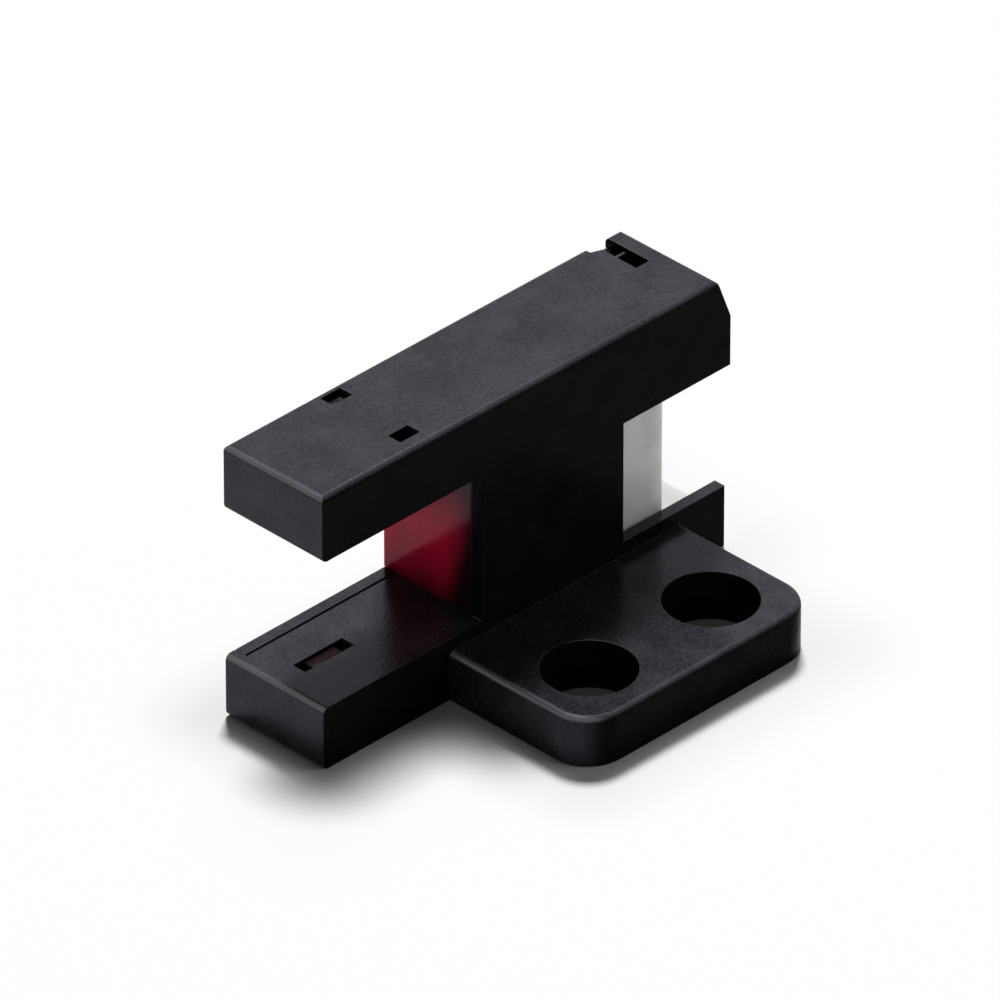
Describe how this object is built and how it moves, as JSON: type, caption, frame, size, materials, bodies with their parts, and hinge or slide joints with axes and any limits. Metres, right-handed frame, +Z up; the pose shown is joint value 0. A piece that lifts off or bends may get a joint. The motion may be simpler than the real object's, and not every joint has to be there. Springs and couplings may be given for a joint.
{
  "type": "slotted optical switch",
  "caption": "U-shaped slotted optical switch: two arms face across a sensing slot with a red window, a side flange takes screws and a white plug socket sits at the rear.",
  "frame": {"origin": "midway between the two screw holes, on the mounting face", "axes": "+X along the arms from the slot's mouth towards the plug bay, +Y from the flange to the body, +Z up from the mounting face"},
  "size_m": [0.0167, 0.0096, 0.0093],
  "materials": {
    "case_black": "fine-grained black moulding",
    "window_red": "translucent red moulding",
    "header_white": "white moulded nylon",
    "contact_gold": "gold-plated contact",
    "board_green": "green solder resist",
    "emitter_resin": "clear bluish resin",
    "receiver_resin": "dark daylight-blocking resin",
    "lamp_white": "white lamp housing",
    "package_black": "moulded package with tinned leads",
    "chip_ceramic": "ceramic body with tinned caps"
  },
  "bodies": {
    "root": {"case": "case_black", "side_cover": "case_black", "slit_cover": "window_red", "circuit_board": "board_green", "emitter_led": "emitter_resin", "receiver_ic": "receiver_resin", "indicator_led": "lamp_white", "amplifier_chip": "package_black", "output_transistor_1": "package_black", "output_transistor_2": "package_black", "protection_diode": "package_black", "led_resistor": "chip_ceramic", "indicator_resistor": "chip_ceramic", "bias_resistor": "chip_ceramic", "bypass_capacitor": "chip_ceramic", "connector_header": "header_white", "pin_supply": "contact_gold", "pin_output_1": "contact_gold", "pin_output_2": "contact_gold", "pin_ground": "contact_gold"}
  },
  "joints": []
}
